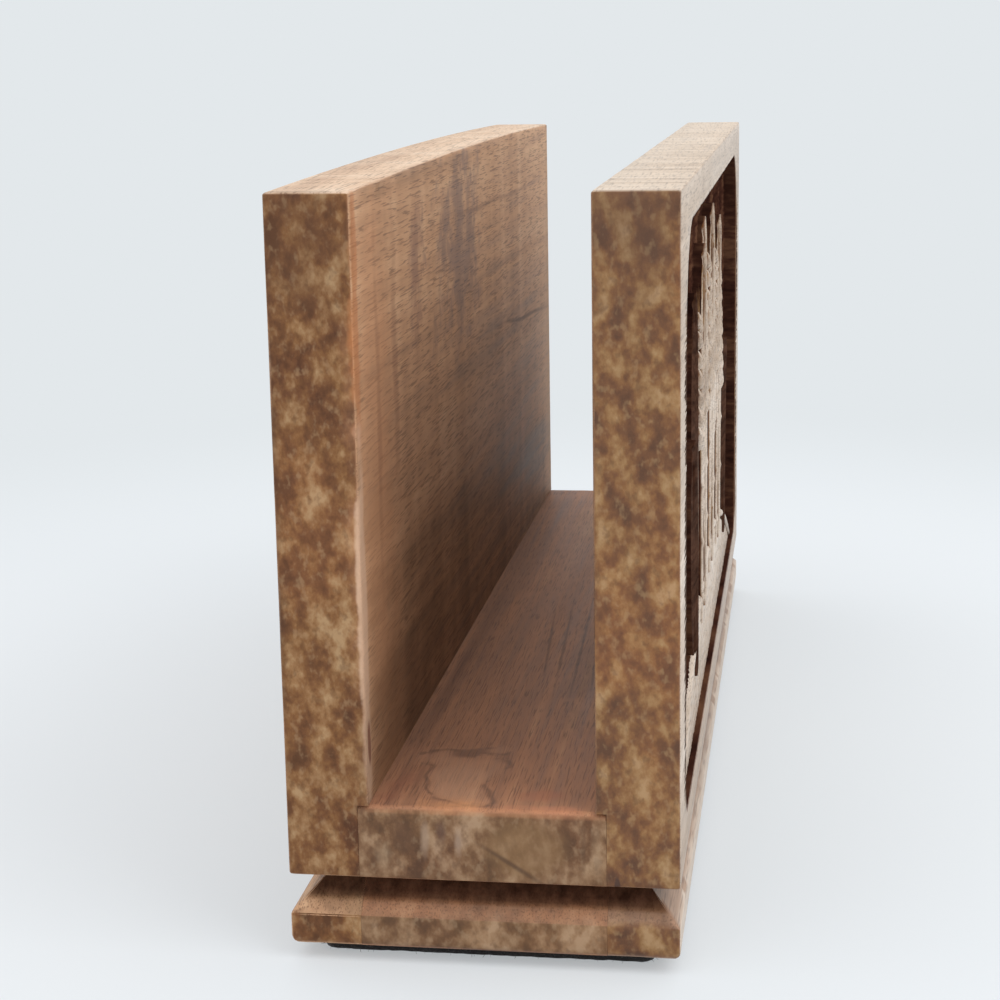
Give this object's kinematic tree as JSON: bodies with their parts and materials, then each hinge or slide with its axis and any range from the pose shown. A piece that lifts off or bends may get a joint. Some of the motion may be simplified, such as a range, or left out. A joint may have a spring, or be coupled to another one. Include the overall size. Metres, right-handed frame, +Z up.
{
  "type": "napkin holder",
  "caption": "Open-ended wooden napkin holder: upright boards glued to a solid core form a slot, with a carved leaf panel in front, a groove round the base and a felt pad below.",
  "frame": {"origin": "on the surface the holder stands on, under the middle of its base", "axes": "+X along the open slot, carved board faces -Y, +Z up"},
  "size_m": [0.2, 0.052, 0.1028],
  "materials": {
    "back_wood": "oiled, end grain darker than the faces",
    "core_wood": "oiled",
    "front_wood": "oiled, with the depths of the carving stained dark brown",
    "felt": "black wool felt"
  },
  "bodies": {
    "root": {"back_board": "back_wood", "core_block": "core_wood", "front_board": "front_wood", "felt_pad": "felt"}
  },
  "joints": []
}
